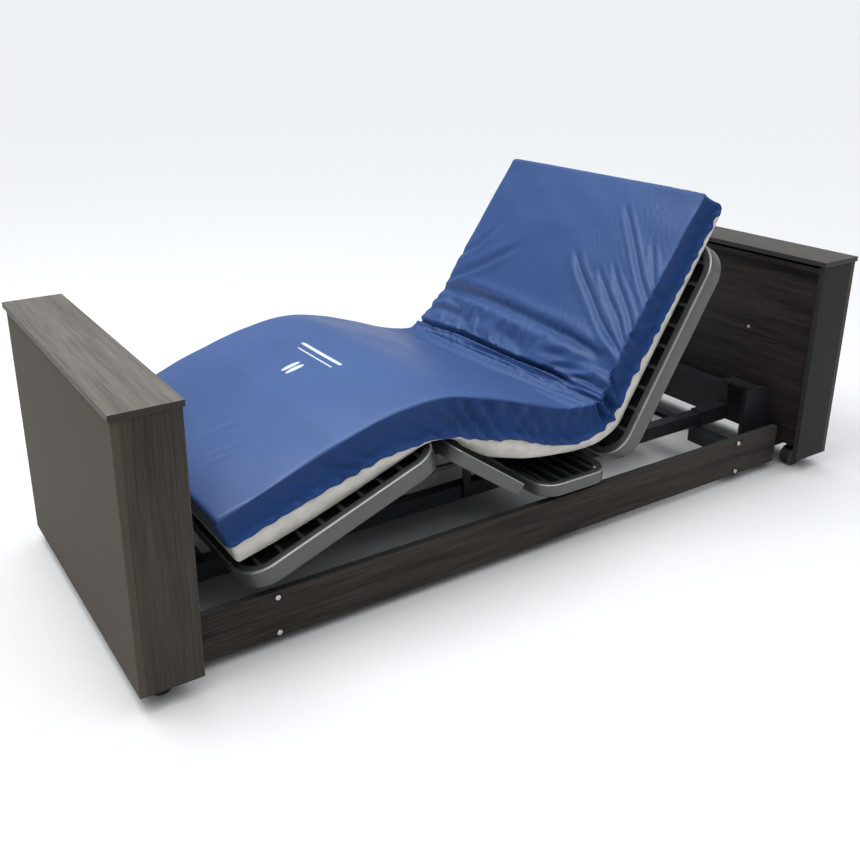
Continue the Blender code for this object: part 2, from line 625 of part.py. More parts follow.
# ---------------------------------------------------------------- the bed
def build():
    for end, sign in (("foot", -1), ("head", 1)):
        end_box(end, sign)
        base_frame(end, sign)
        carriage(end, sign)
        for name, side in (("near", -1), ("far", 1)):
            caster(f"caster_{end}_{name}", sign, side)
            for level, height in zip(("low", "high"), BOLT_HEIGHTS):
                rail_bolt(f"rail_bolt_{end}_{name}_{level}", sign, side, height)
    head_cornice()
    for name, side in (("near", -1), ("far", 1)):
        side_rail(name, side)
    lift_columns()
    deck_frame()
    seat_frame()
    hinge_shaft("back_hinge_shaft", BACK_HINGE, 0.242)
    hinge_shaft("thigh_hinge_shaft", THIGH_HINGE, 0.242)

    back_pivot = empty("back_pivot", (BACK_HINGE[0], 0, BACK_HINGE[1]), -radians(BACK_ANGLE))
    thigh_pivot = empty("thigh_pivot", (THIGH_HINGE[0], 0, THIGH_HINGE[1]), radians(THIGH_ANGLE))
    calf_pivot = empty("calf_pivot", (-THIGH_LENGTH, 0, 0), -radians(KNEE_ANGLE), thigh_pivot)
    bpy.context.view_layer.update()
    back_section(back_pivot)
    thigh_section(thigh_pivot)
    calf_section(calf_pivot)
    hinge_shaft("knee_hinge_shaft", (-THIGH_LENGTH, 0.0), 0.316, thigh_pivot)
    actuators()
    mattress(thigh_pivot, calf_pivot, back_pivot)


build()
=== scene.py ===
"""Adjustable hospital bed: the looks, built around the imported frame. Metres, +Z up, floor at Z = 0."""
import json
from math import cos, pi, radians, sin

import bmesh
import bpy
import numpy as np
from mathutils import Matrix, Vector


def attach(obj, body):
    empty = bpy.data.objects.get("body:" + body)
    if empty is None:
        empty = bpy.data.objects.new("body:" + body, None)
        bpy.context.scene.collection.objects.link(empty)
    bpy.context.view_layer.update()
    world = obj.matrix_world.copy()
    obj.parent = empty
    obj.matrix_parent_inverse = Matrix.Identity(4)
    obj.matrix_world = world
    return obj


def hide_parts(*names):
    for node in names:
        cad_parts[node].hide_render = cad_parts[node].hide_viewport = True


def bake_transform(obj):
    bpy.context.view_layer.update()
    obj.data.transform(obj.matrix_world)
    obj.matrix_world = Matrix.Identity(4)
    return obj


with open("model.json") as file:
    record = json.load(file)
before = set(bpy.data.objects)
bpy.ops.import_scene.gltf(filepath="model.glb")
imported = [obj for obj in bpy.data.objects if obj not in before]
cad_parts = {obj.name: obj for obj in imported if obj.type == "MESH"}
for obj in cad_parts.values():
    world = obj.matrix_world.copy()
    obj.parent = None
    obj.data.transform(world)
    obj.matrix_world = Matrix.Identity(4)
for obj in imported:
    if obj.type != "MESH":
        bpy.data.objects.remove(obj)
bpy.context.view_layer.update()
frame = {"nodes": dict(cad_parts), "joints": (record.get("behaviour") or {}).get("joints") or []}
NODES = frame["nodes"]
JOINTS = {joint["name"]: joint for joint in frame["joints"]}
RNG = np.random.default_rng(7)

BACK_HINGE = Vector(JOINTS["back_hinge"]["pos_m"])
THIGH_HINGE = Vector(JOINTS["thigh_hinge"]["pos_m"])
KNEE = Vector(JOINTS["knee_hinge"]["pos_m"])
BACK_RAISED = radians(-JOINTS["back_hinge"]["range_deg"][0])
THIGH_RAISED = radians(-JOINTS["thigh_hinge"]["range_deg"][0])
CALF_SLOPE = radians(20.6)              # the calf section rises this much from its foot end to the knee


# ---------------------------------------------------------------- shader helpers
class Shader:
    """Builds one node material around a Principled shader."""

    def __init__(self, name, colour, roughness, metallic=0.0, **sockets):
        self.material = bpy.data.materials.new(name)
        self.material.use_nodes = True
        self.tree = self.material.node_tree
        self.main = self.tree.nodes["Principled BSDF"]
        self.put("Base Color", (*colour, 1.0))
        self.put("Roughness", roughness)
        self.put("Metallic", metallic)
        for socket, value in sockets.items():
            self.put(socket.replace("_", " "), value)
        self.coords = self.node("ShaderNodeTexCoord").outputs["Object"]

    def node(self, kind, **settings):
        made = self.tree.nodes.new(kind)
        for key, value in settings.items():
            setattr(made, key, value)
        return made

    def link(self, output, target):
        self.tree.links.new(output, target)

    def put(self, socket, value):
        self.main.inputs[socket].default_value = value

    def feed(self, output, socket):
        self.link(output, self.main.inputs[socket])

    def stretched(self, scale, rotation=(0, 0, 0)):
        """The object's coordinates, scaled along each axis."""
        mapping = self.node("ShaderNodeMapping")
        mapping.inputs["Scale"].default_value = scale
        mapping.inputs["Rotation"].default_value = rotation
        self.link(self.coords, mapping.inputs["Vector"])
        return mapping.outputs["Vector"]

    def noise(self, vector, scale=1.0, detail=4.0, roughness=0.55, distortion=0.0):
        made = self.node("ShaderNodeTexNoise")
        for socket, value in (("Scale", scale), ("Detail", detail), ("Roughness", roughness),
                              ("Distortion", distortion)):
            made.inputs[socket].default_value = value
        self.link(vector, made.inputs["Vector"])
        return made.outputs["Fac"]

    def ramp(self, factor, stops):
        """A colour that runs through stops, each a place and a colour."""
        made = self.node("ShaderNodeValToRGB")
        ramp = made.color_ramp
        while len(ramp.elements) < len(stops):
            ramp.elements.new(0.5)
        for element, (place, colour) in zip(ramp.elements, stops):
            element.position = place
            element.color = (*colour, 1.0)
        self.link(factor, made.inputs["Fac"])
        return made.outputs["Color"]

    def scale_range(self, value, low, high, from_low=0.0, from_high=1.0):
        """Takes a value in from_low to from_high to low to high."""
        made = self.node("ShaderNodeMapRange")
        ends = (("From Min", from_low), ("From Max", from_high), ("To Min", low), ("To Max", high))
        for socket, number in ends:
            made.inputs[socket].default_value = number
        self.link(value, made.inputs["Value"])
        return made.outputs["Result"]

    def math(self, operation, a, b):
        made = self.node("ShaderNodeMath", operation=operation)
        for socket, value in zip(made.inputs, (a, b)):
            if isinstance(value, (int, float)):
                socket.default_value = value
            else:
                self.link(value, socket)
        return made.outputs[0]

    def mix(self, factor, a, b):
        """A colour between a and b."""
        made = self.node("ShaderNodeMix", data_type="RGBA")
        factor_socket, a_socket, b_socket = made.inputs[0], made.inputs[6], made.inputs[7]
        for socket, value in ((factor_socket, factor), (a_socket, a), (b_socket, b)):
            if isinstance(value, (int, float)):
                socket.default_value = value
            elif isinstance(value, tuple):
                socket.default_value = (*value, 1.0)
            else:
                self.link(value, socket)
        return made.outputs[2]

    def facing(self, axis, low, high):
        """A mask of the faces whose normal lies between two values along an axis of the object."""
        split = self.node("ShaderNodeSeparateXYZ")
        self.link(self.node("ShaderNodeTexCoord").outputs["Normal"], split.inputs[0])
        return self.scale_range(split.outputs[axis], 0.0, 1.0, low, high)

    def bump(self, height, strength, distance, below=None):
        """Roughens the surface by a height, over the bump that lies below it."""
        made = self.node("ShaderNodeBump")
        made.inputs["Strength"].default_value = strength
        made.inputs["Distance"].default_value = distance
        self.link(height, made.inputs["Height"])
        if below is not None:
            self.link(below, made.inputs["Normal"])
        self.feed(made.outputs["Normal"], "Normal")
        return made.outputs["Normal"]


def laminate(name, along, dark, light, grain=1.0, roughness=0.5, specular=0.20, faces=None):
    """Wood-grain laminate whose grain runs along one axis; some faces may have a colour of their own."""
    shader = Shader(name, light, roughness, Specular_IOR_Level=specular)

    def streaks(lengthwise, crosswise, **settings):
        scale = [lengthwise if axis == along else crosswise for axis in "XYZ"]
        return shader.noise(shader.stretched(scale), **settings)

    broad = streaks(1.3, 16.0, detail=5, distortion=0.9)
    fine = streaks(5.0, 190.0, detail=3, roughness=0.6)
    pores = streaks(14.0, 420.0, detail=2)
    level = shader.math("ADD", shader.math("MULTIPLY", broad, 0.5), shader.math("MULTIPLY", fine, 0.5))
    spread = 0.16 / grain
    colour = shader.ramp(level, [(0.5 - spread, dark), (0.5 + spread, light)])
    pore_mask = shader.scale_range(pores, 0.0, 0.35 * grain, 0.60, 0.72)
    colour = shader.mix(pore_mask, colour, tuple(c * 0.45 for c in dark))
    if faces:
        axis, low, high, face_colour = faces
        colour = shader.mix(shader.facing(axis, low, high), colour, face_colour)
    shader.feed(colour, "Base Color")
    shader.feed(shader.scale_range(fine, roughness - 0.08, roughness + 0.10), "Roughness")
    shader.bump(fine, 0.18 * grain, 0.0006)
    return shader.material


def paint(name, colour, roughness=0.42, orange_peel=0.05, wear=0.25, metallic=0.0):
    """Powder-coated steel with a faint texture, and dust that greys it slightly."""
    shader = Shader(name, colour, roughness, metallic)
    dust = shader.noise(shader.stretched((9, 9, 9)), detail=6)
    fine = shader.noise(shader.stretched((900, 900, 900)), detail=1)
    pale = tuple(c * 1.5 + 0.010 for c in colour)
    shader.feed(shader.mix(shader.scale_range(dust, 0.0, wear, 0.45, 0.8), colour, pale), "Base Color")
    shader.feed(shader.scale_range(dust, roughness - 0.05, roughness + 0.12, 0.3, 0.7), "Roughness")
    shader.bump(fine, orange_peel, 0.0004)
    return shader.material


def bare_metal(name, colour, roughness=0.28):
    """Plated steel with fine scratches, which dull it."""
    shader = Shader(name, colour, roughness, 1.0)
    scratches = shader.noise(shader.stretched((60, 400, 60)), detail=4)
    shader.feed(shader.scale_range(scratches, roughness - 0.06, roughness + 0.14, 0.3, 0.7), "Roughness")
    dull = tuple(c * 0.7 for c in colour)
    shader.feed(shader.mix(shader.scale_range(scratches, 0.0, 0.5, 0.4, 0.8), colour, dull), "Base Color")
    return shader.material


def plastic(name, colour, roughness=0.5):
    """Grained plastic or rubber, slightly cloudy."""
    shader = Shader(name, colour, roughness)
    grain = shader.noise(shader.stretched((700, 700, 700)), detail=2)
    cloud = shader.noise(shader.stretched((20, 20, 20)), detail=4)
    pale = tuple(c * 1.6 + 0.004 for c in colour)
    shader.feed(shader.mix(shader.scale_range(cloud, 0.0, 0.4, 0.4, 0.8), colour, pale), "Base Color")
    shader.bump(grain, 0.12, 0.0004)
    return shader.material


BOX_DARK, BOX_LIGHT = (0.026, 0.021, 0.0175), (0.061, 0.0505, 0.042)
BOX_GRAIN = 1.3
# faces picked by their normal: the axis, where the pick starts and where it is full
EDGES, FOOT_FACE, TOP_FACE = ("Z", 0.9, 0.5), ("X", -0.5, -0.9), ("Z", 0.5, 0.9)

NEAR_FOOT_SIDE = laminate("foot_near_side_laminate", "Z", BOX_DARK, BOX_LIGHT, BOX_GRAIN, specular=0.14,
                          faces=(*FOOT_FACE, (0.070, 0.057, 0.045)))
# painted shade: the far board's edge facing the foot is painted near black, unlike the near board's
FAR_FOOT_SIDE = laminate("foot_far_side_laminate", "Z", BOX_DARK, BOX_LIGHT, BOX_GRAIN,
                         faces=(*FOOT_FACE, (0.006, 0.006, 0.007)))
HEAD_SIDE = laminate("head_side_laminate", "Z", (0.024, 0.024, 0.023), (0.034, 0.034, 0.033), 0.5, 0.55, 0.06)
FACE_GRAIN = laminate("box_face_laminate", "Z", (0.068, 0.055, 0.044), (0.082, 0.067, 0.053), 0.5, 0.58, 0.05)
TOP_GRAIN = laminate("box_top_laminate", "Y", (0.082, 0.073, 0.065), (0.158, 0.143, 0.128), 1.1, 0.42,
                     faces=(*EDGES, (0.030, 0.024, 0.020)))
HEAD_TOP_GRAIN = laminate("head_top_laminate", "Y", (0.056, 0.052, 0.048), (0.084, 0.078, 0.073), 1.0, 0.42,
                          faces=(*EDGES, (0.034, 0.032, 0.030)))
INNER_GRAIN = laminate("head_inner_laminate", "Y", (0.009, 0.0070, 0.0065), (0.030, 0.0245, 0.021), 1.4)
RAIL_GRAIN = laminate("rail_laminate", "X", (0.018, 0.0145, 0.012), (0.048, 0.039, 0.033), 1.5, specular=0.10,
                      faces=(*TOP_FACE, (0.042, 0.043, 0.040)))
CHARCOAL = paint("charcoal_paint", (0.012, 0.015, 0.018), 0.40)
LOOP_GREY = paint("loop_grey_paint", (0.092, 0.097, 0.092), 0.36, 0.04, 0.3, 0.50)
# a pale finish for the tubes' beads: a painted highlight along their upper edge
LOOP_HIGHLIGHT = paint("loop_edge_painted_highlight", (0.38, 0.39, 0.37), 0.28, 0.02, 0.2, 0.75)
ZINC = bare_metal("zinc_plate", (0.62, 0.62, 0.60))
BLACK_PLASTIC = plastic("black_plastic", (0.012, 0.013, 0.015))
RUBBER = plastic("caster_rubber", (0.015, 0.015, 0.016), 0.65)

# the first key that a node's name holds gives its finish; black plastic is what is left over
FINISHES = (("foot_near_side_board", NEAR_FOOT_SIDE), ("foot_far_side_board", FAR_FOOT_SIDE),
            ("side_board", HEAD_SIDE), ("head_top_plate", HEAD_TOP_GRAIN), ("top_plate", TOP_GRAIN),
            ("cornice", INNER_GRAIN), ("inner_board", INNER_GRAIN), ("outer_board", FACE_GRAIN),
            ("side_rail", RAIL_GRAIN), ("wheel", RUBBER), ("bolt", ZINC), ("shaft", ZINC), ("rod", ZINC),
            ("base_frame", CHARCOAL), ("deck_frame", CHARCOAL), ("_frame", LOOP_GREY), ("column", CHARCOAL),
            ("carriage", CHARCOAL), ("", BLACK_PLASTIC))


def dress():
    """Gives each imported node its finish."""
    for name, node in NODES.items():
        finish = next(made for key, made in FINISHES if key in name)
        node.data.materials.clear()
        node.data.materials.append(finish)


dress()


# ---------------------------------------------------------------- section planes
def on_calf(along, height):
    """A point of the calf section: distance from the knee towards the head, and height above its plane."""
    return np.array([KNEE.x + along * cos(CALF_SLOPE) - height * sin(CALF_SLOPE),
                     KNEE.z + along * sin(CALF_SLOPE) + height * cos(CALF_SLOPE)])


def on_thigh(along, height):
    """A point of the thigh section, from the thigh hinge."""
    return np.array([THIGH_HINGE.x + along * cos(THIGH_RAISED) + height * sin(THIGH_RAISED),
                     THIGH_HINGE.z - along * sin(THIGH_RAISED) + height * cos(THIGH_RAISED)])


def on_back(along, height):
    """A point of the back section, from the back hinge."""
    return np.array([BACK_HINGE.x + along * cos(BACK_RAISED) - height * sin(BACK_RAISED),
                     BACK_HINGE.z + along * sin(BACK_RAISED) + height * cos(BACK_RAISED)])


def on_deck(x, z):
    """A point given in the frame's own X and Z."""
    return np.array([x, z])


def curve_through(knots):
    """A smooth curve through points, each knot a place along the curve and its point."""
    places = np.array([knot[0] for knot in knots])
    points = np.array([knot[1] for knot in knots])
    steps = np.diff(places)
    slopes = np.diff(points, axis=0) / steps[:, None]
    tangents = np.empty_like(points)
    tangents[0], tangents[-1] = slopes[0], slopes[-1]
    tangents[1:-1] = ((slopes[:-1] * steps[1:, None] + slopes[1:] * steps[:-1, None])
                      / (steps[:-1] + steps[1:])[:, None])

    def at(u):
        i = np.clip(np.searchsorted(places, u, side="right") - 1, 0, len(steps) - 1)
        h = steps[i]
        s = np.clip((u - places[i]) / h, 0.0, 1.0)
        s, h = s[..., None], h[..., None]
        return ((1 + 2 * s) * (1 - s) ** 2 * points[i] + s * (1 - s) ** 2 * h * tangents[i]
                + s * s * (3 - 2 * s) * points[i + 1] + s * s * (s - 1) * h * tangents[i + 1])
    return at


# ---------------------------------------------------------------- pieces, loops and the dark pans of painted shade
def new_piece(name, verts, faces, finishes, sharp_angle=None):
    """A mesh object with its finishes; with a sharp angle it is shaded smooth up to that angle."""
    mesh = bpy.data.meshes.new(name)
    mesh.from_pydata([tuple(v) for v in verts], [], faces)
    if sharp_angle:
        mesh.shade_smooth()
        mesh.set_sharp_from_angle(angle=sharp_angle)
    for finish in finishes:
        mesh.materials.append(finish)
    piece = bpy.data.objects.new(name, mesh)
    bpy.context.collection.objects.link(piece)
    return piece


def turn_outwards(mesh):
    """Makes every face look outwards."""
    work = bmesh.new()
    work.from_mesh(mesh)
    bmesh.ops.recalc_face_normals(work, faces=work.faces)
    work.to_mesh(mesh)
    work.free()


def spot(place, along, y, height):
    """A point of a section, with its place across the bed."""
    x, z = place(along, height)
    return x, y, z


LOOP_HALF_WIDTH = 0.460
CORNER_STEPS = 16                       # segments in each round corner of a loop
BAR = 0.025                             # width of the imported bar
SKIN = 0.0012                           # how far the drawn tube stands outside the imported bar
BEAD = (13, 14, 15)                     # the faces of the tube's profile that form the bead, which carry a painted highlight
# each loop's body, ends along its section, lowest and highest face, corner radius and section
LOOPS = {
    "calf": ("calf", (-0.638, -0.012), (-0.025, 0.025), 0.085, on_calf),
    "thigh": ("thigh", (-0.272, 0.023), (-0.018, 0.018), 0.040, on_thigh),
    "back": ("back", (-0.0457, 0.6883), (-0.0425, 0.0125), 0.100, on_back),
    "seat": ("deck", (-0.0235, 0.248), (0.197, 0.233), 0.070, on_deck),
}
OPEN_LOOP = "thigh"                     # a U, open towards the head
# black pans under the slats of the calf, back and seat, standing in as painted shade; each gives its lower
# and upper height
SHADE_PANS = {"calf": (-0.002, 0.000), "back": (-0.0125, -0.0105), "seat": (0.2045, 0.2065)}


def plan(ends, radius, inset, open_end=False):
    """A loop's outline in plan, moved inwards by inset; an open loop stops short at its high end."""
    low, high, wide = ends[0] + inset, ends[1] - inset, LOOP_HALF_WIDTH - inset
    r = max(radius - inset, 0.001)
    corners = [(low + r, wide - r, pi / 2), (low + r, -wide + r, pi)]
    if not open_end:
        corners += [(high - r, -wide + r, 1.5 * pi), (high - r, wide - r, 0.0)]
    turns = [k * pi / 2 / CORNER_STEPS for k in range(CORNER_STEPS + 1)]
    points = [(x + r * cos(start + turn), y + r * sin(start + turn))
              for x, y, start in corners for turn in turns]
    if open_end:
        points = [(ends[1], wide)] + points + [(ends[1], -wide)]
    return points


def tube_profile(low, high):
    """The tube's section as (inset, height): round corners, a raised bead and a fine groove on top."""
    s, b = SKIN, BAR
    return [(-s, low + 0.0025), (-s + 0.0008, low + 0.0004), (0.002, low - s), (b - 0.002, low - s),
            (b + s - 0.0008, low + 0.0004), (b + s, low + 0.0025), (b + s, high - 0.0022),
            (b + s - 0.0006, high + s - 0.0008), (b - 0.0015, high + s), (0.0105, high + s),
            (0.0098, high + 0.0003), (0.0088, high + 0.0003), (0.0080, high + s + 0.0002),
            (0.0052, high + s + 0.0012), (0.0024, high + s + 0.0012), (0.0004, high + s + 0.0002),
            (-s + 0.0001, high - 0.0008), (-s, high - 0.0030)]


def loop_tube(section):
    """The drawn skin of a loop: the tube's profile swept round its plan."""
    body, ends, heights, radius, place = LOOPS[section]
    open_end = section == OPEN_LOOP
    rings = [[spot(place, along, y, height) for along, y in plan(ends, radius, inset, open_end)]
             for inset, height in tube_profile(*heights)]
    count, depth = len(rings[0]), len(rings)
    spans = count - 1 if open_end else count
    verts = [ring[i] for i in range(count) for ring in rings]
    faces = []
    for i in range(spans):
        j = (i + 1) % count
        for k in range(depth):
            m = (k + 1) % depth
            faces.append((i * depth + k, i * depth + m, j * depth + m, j * depth + k))
    if open_end:
        faces += [tuple(range(depth)), tuple(range((count - 1) * depth, count * depth))[::-1]]
    piece = new_piece(f"{section}_loop_tube", verts, faces, (LOOP_GREY, LOOP_HIGHLIGHT))
    mesh = piece.data
    turn_outwards(mesh)
    mesh.shade_smooth()
    mesh.set_sharp_from_angle(angle=radians(50))
    # the bead's faces take the pale finish, a painted highlight
    for face in mesh.polygons[:spans * depth]:
        if face.index % depth in BEAD:
            face.material_index = 1
    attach(piece, body)


def pan(section):
    """A dark pan under a loop's slats, put in as painted shade for the darkness seen between them."""
    body, ends, _, radius, place = LOOPS[section]
    edge = plan(ends, radius, BAR - 0.001)
    count = len(edge)
    verts = [spot(place, along, y, height) for height in SHADE_PANS[section] for along, y in edge]
    faces = [tuple(range(count))[::-1], tuple(range(count, 2 * count))]
    faces += [(k, (k + 1) % count, count + (k + 1) % count, count + k) for k in range(count)]
    piece = new_piece(f"{section}_pan", verts, faces, (BLACK_PLASTIC,))
    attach(piece, body)


for section in LOOPS:
    loop_tube(section)
for section in SHADE_PANS:
    pan(section)


# ---------------------------------------------------------------- screws
SCREW_SIDES = 20
# the screw's outline as shares of its radius and height, from its seat over the dome into the socket
SCREW_OUTLINE = ((1.0, 0.0), (1.0, 0.45), (0.90, 0.80), (0.66, 1.0), (0.42, 1.0), (0.38, 0.45))


def screw(name, centre, axis, radius, height, body):
    """A pan-head screw: a low dome with a socket, its head facing along axis."""
    turn = Vector(axis).to_track_quat("Z", "Y").to_matrix()
    verts, faces = [], []
    for r, up in SCREW_OUTLINE:
        for k in range(SCREW_SIDES):
            around = 2 * pi * k / SCREW_SIDES
            place = Vector((r * radius * cos(around), r * radius * sin(around), up * height))
            verts.append(Vector(centre) + turn @ place)
    for i in range(len(SCREW_OUTLINE) - 1):
        a, b = i * SCREW_SIDES, (i + 1) * SCREW_SIDES
        for k in range(SCREW_SIDES):
            m = (k + 1) % SCREW_SIDES
            faces.append((a + k, a + m, b + m, b + k))
    last = (len(SCREW_OUTLINE) - 1) * SCREW_SIDES
    faces += [tuple(range(last, last + SCREW_SIDES)), tuple(range(SCREW_SIDES))[::-1]]
    piece = new_piece(name, verts, faces, (ZINC,), radians(40))
    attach(piece, body)


def screws():
    """Screws at the loops' corners, beside the rails' bolts, and one in the head panel."""
    up_calf = (-sin(CALF_SLOPE), 0, cos(CALF_SLOPE))
    up_back = (-sin(BACK_RAISED), 0, cos(BACK_RAISED))
    corner_radius, corner_height = 0.0065, 0.005
    rail_x, rail_face_y = 0.878, 0.4300
    for side, label in ((-1, "near"), (1, "far")):
        screw(f"calf_corner_screw_{label}", spot(on_calf, -0.590, side * 0.420, 0.001), up_calf,
              corner_radius, corner_height, "calf")
        screw(f"back_corner_screw_{label}", spot(on_back, -0.002, side * 0.418, -0.010), up_back,
              corner_radius, corner_height, "back")
        screw(f"seat_corner_screw_{label}", (0.205, side * 0.425, 0.2335), (0, 0, 1), 0.006, 0.004, "deck")
        for z in (0.045, 0.150):
            for sign, end in ((-1, "foot"), (1, "head")):
                screw(f"rail_screw_{end}_{label}_{round(z * 1000)}", (sign * rail_x, side * rail_face_y, z),
                      (0, side, 0), 0.0078, 0.0034, "root")
    screw("head_panel_screw", (1.1385, -0.215, 0.470), (-1, 0, 0), 0.0060, 0.003, "root")


screws()


# ---------------------------------------------------------------- mattress
# A point of the mattress is given by its place along and across the flat mattress, u and y, and by its share
# of the thickness, t, which is 0 on the underside and 1 on top.
FOOT_END, HEAD_END = -1.060, 1.079
HALF_WIDTH = 0.445
THICKNESS = 0.19                        # turns a share of the thickness into a length
HEM = 0.33                              # t of the blue cover's lower edge in the ring profiles
# the share of the thickness at which that edge is drawn, along the mattress
HEM_LINE = ((FOOT_END, 0.50), (-0.93, 0.51), (-0.76, 0.47), (-0.59, 0.40), (-0.50, 0.28), (-0.42, 0.14),
            (-0.36, 0.20), (-0.28, 0.32), (-0.14, 0.40), (0.01, 0.31), (0.114, 0.28), (0.212, 0.40),
            (0.314, 0.52), (0.38, 0.50), (0.60, 0.47), (HEAD_END, 0.45))

# the mattress's underside and top in the raised pose; the top differs between its near and far edge
UNDERSIDE = curve_through([
    (FOOT_END, on_calf(-0.6385, 0.052)), (-0.93, on_calf(-0.508, 0.038)), (-0.80, on_calf(-0.3785, 0.031)),
    (-0.50, on_calf(-0.0800, 0.030)), (-0.44, on_calf(-0.018, 0.030)), (-0.40, on_thigh(-0.270, 0.031)),
    (-0.33, on_thigh(-0.205, 0.030)), (-0.24, on_thigh(-0.110, 0.036)), (-0.17, on_deck(-0.143, 0.3440)),
    (-0.09, on_deck(-0.070, 0.3240)), (0.06, on_deck(0.062, 0.304)), (0.16, on_deck(0.162, 0.297)),
    (0.22, on_deck(0.225, 0.300)), (0.27, on_deck(0.274, 0.316)), (0.32, on_back(0.0586, 0.0200)),
    (0.40, on_back(0.150, 0.0178)), (0.64, on_back(0.385, 0.0175)), (HEAD_END, on_back(0.793, 0.0175))])
SHARED_TOP = [
    (FOOT_END, on_calf(-0.6385, 0.2165)), (-0.886, on_calf(-0.4649, 0.2180)),
    (-0.7165, on_calf(-0.295, 0.2150)), (-0.541, on_calf(-0.1196, 0.202)), (-0.44, on_deck(-0.445, 0.599)),
    (-0.365, on_deck(-0.371, 0.600)), (-0.25, on_deck(-0.261, 0.575)), (-0.13, on_deck(-0.145, 0.539)),
    (0.00, on_deck(-0.022, 0.495))]
NEAR_TOP = curve_through(SHARED_TOP + [
    (0.09, on_deck(0.060, 0.472)), (0.16, on_deck(0.118, 0.463)), (0.23, on_deck(0.163, 0.460)),
    (0.29, on_deck(0.188, 0.467)), (0.35, on_deck(0.206, 0.500)), (0.43, on_deck(0.2455, 0.584)),
    (0.52, on_deck(0.292, 0.654)), (0.64, on_deck(0.3615, 0.756)), (HEAD_END, on_back(0.7935, 0.1680))])
FAR_TOP = curve_through(SHARED_TOP + [
    (0.09, on_deck(0.045, 0.477)), (0.16, on_deck(0.085, 0.474)), (0.23, on_deck(0.110, 0.479)),
    (0.29, on_deck(0.138, 0.496)), (0.35, on_deck(0.172, 0.520)), (0.43, on_deck(0.231, 0.584)),
    (0.52, on_deck(0.280, 0.654)), (0.64, on_deck(0.3500, 0.758)), (HEAD_END, on_back(0.7935, 0.1740))])
# how far the middle of the top stands above its edges, along the mattress
CROWN = ((FOOT_END, 0.018), (-0.70, 0.024), (-0.44, 0.015), (0.00, 0.010), (0.29, 0.004), (0.45, 0.010),
         (0.80, 0.014), (HEAD_END, 0.004))


def smooth_step(value, low, high):
    """0 up to low, 1 from high on, and an S-curve between them."""
    s = np.clip((value - low) / (high - low), 0.0, 1.0)
    return s * s * (3 - 2 * s)


def bell(value, centre, width):
    return np.exp(-((value - centre) / width) ** 2)


def mattress_point(u, y, t):
    """Places points of the flat mattress in the raised pose."""
    far_share = np.clip(0.5 + 0.5 * y / HALF_WIDTH, 0.0, 1.0)[:, None]
    hem = np.interp(u, *zip(*HEM_LINE))
    t = np.where(t < HEM, t / HEM * hem, hem + (t - HEM) / (1 - HEM) * (1 - hem))
    low = UNDERSIDE(u)
    high = NEAR_TOP(u) * (1 - far_share) + FAR_TOP(u) * far_share
    rise = high - low
    from_middle = np.clip(np.abs(y) / HALF_WIDTH, 0, 1)
    crown = np.interp(u, *zip(*CROWN)) * (1 - from_middle ** 2.6)
    lift = crown * smooth_step(t, 0.5, 1.0)
    direction = rise / np.linalg.norm(rise, axis=1)[:, None]
    placed = low + rise * t[:, None] + direction * lift[:, None]
    return np.column_stack([placed[:, 0], y, placed[:, 1]])


def ring_profile(side_points, top_steps, bottom_steps):
    """A closed ring of (y, t) from one side's points, lowest first, mirrored over."""
    near = [(-y, t) for y, t in side_points]
    far = [(y, t) for y, t in reversed(side_points)]

    def level(start, end, steps):
        return [(start[0] + (end[0] - start[0]) * k / steps, start[1]) for k in range(1, steps)]

    return np.array(near + level(near[-1], far[0], top_steps) + far + level(far[-1], near[0], bottom_steps))


def rounded_corner(y, t, radius_y, radius_t, steps, start, end):
    """Points round the centre of a corner, from one angle to another."""
    return [(y + radius_y * cos(start + (end - start) * k / steps),
             t + radius_t * sin(start + (end - start) * k / steps)) for k in range(steps + 1)]


END_FACE_INSETS = (0.045, 0.030, 0.018)  # rings on an end's face, from its middle outwards
LEAST_HEIGHT = 0.2                      # share of the ring's height that the smallest of them keeps


def loft(name, ring, stations, end_radius, end_steps):
    """A closed skin: the ring carried along the stations, with ends that round in and close."""
    middle = np.array([0.0, (ring[:, 1].min() + ring[:, 1].max()) / 2])
    half_width = np.abs(ring[:, 0]).max()
    half_height = (ring[:, 1].max() - ring[:, 1].min()) / 2 * THICKNESS

    def shrunk(amount):
        scale_t = max(1 - amount / half_height, LEAST_HEIGHT)
        return middle + (ring - middle) * np.array([1 - amount / half_width, scale_t])

    def rounded_end(end, sign):
        """Rings from the middle of an end's face to its rim; sign is -1 at the foot and 1 at the head."""
        rows = [(end, shrunk(max(amount, end_radius))) for amount in END_FACE_INSETS]
        for k in range(end_steps):
            angle = k / end_steps * pi / 2
            inwards = end_radius * (1 - cos(angle))
            rows.append((end - sign * inwards, shrunk(end_radius * (1 - sin(angle)))))
        return rows

    first, last = stations[0] + end_radius, stations[-1] - end_radius
    straight = [first] + [station for station in stations if first < station < last] + [last]
    rows = (rounded_end(stations[0], -1) + [(station, ring) for station in straight]
            + rounded_end(stations[-1], 1)[::-1])
    u = np.concatenate([np.full(len(points), station) for station, points in rows])
    y, t = np.concatenate([points for _, points in rows]).T
    count = len(ring)
    faces = []
    for i in range(len(rows) - 1):
        a, b = i * count, (i + 1) * count
        for j in range(count):
            k = (j + 1) % count
            faces.append((a + j, a + k, b + k, b + j))
    closing = (len(rows) - 1) * count
    faces += [tuple(range(count))[::-1], tuple(range(closing, closing + count))]
    piece = new_piece(name, mattress_point(u, y, t).tolist(), faces, ())
    turn_outwards(piece.data)
    for key, values in (("along", u), ("across", y), ("height", t)):
        piece.data.attributes.new(key, "FLOAT", "POINT").data.foreach_set("value", values.astype(np.float32))
    piece.data.shade_smooth()
    return piece


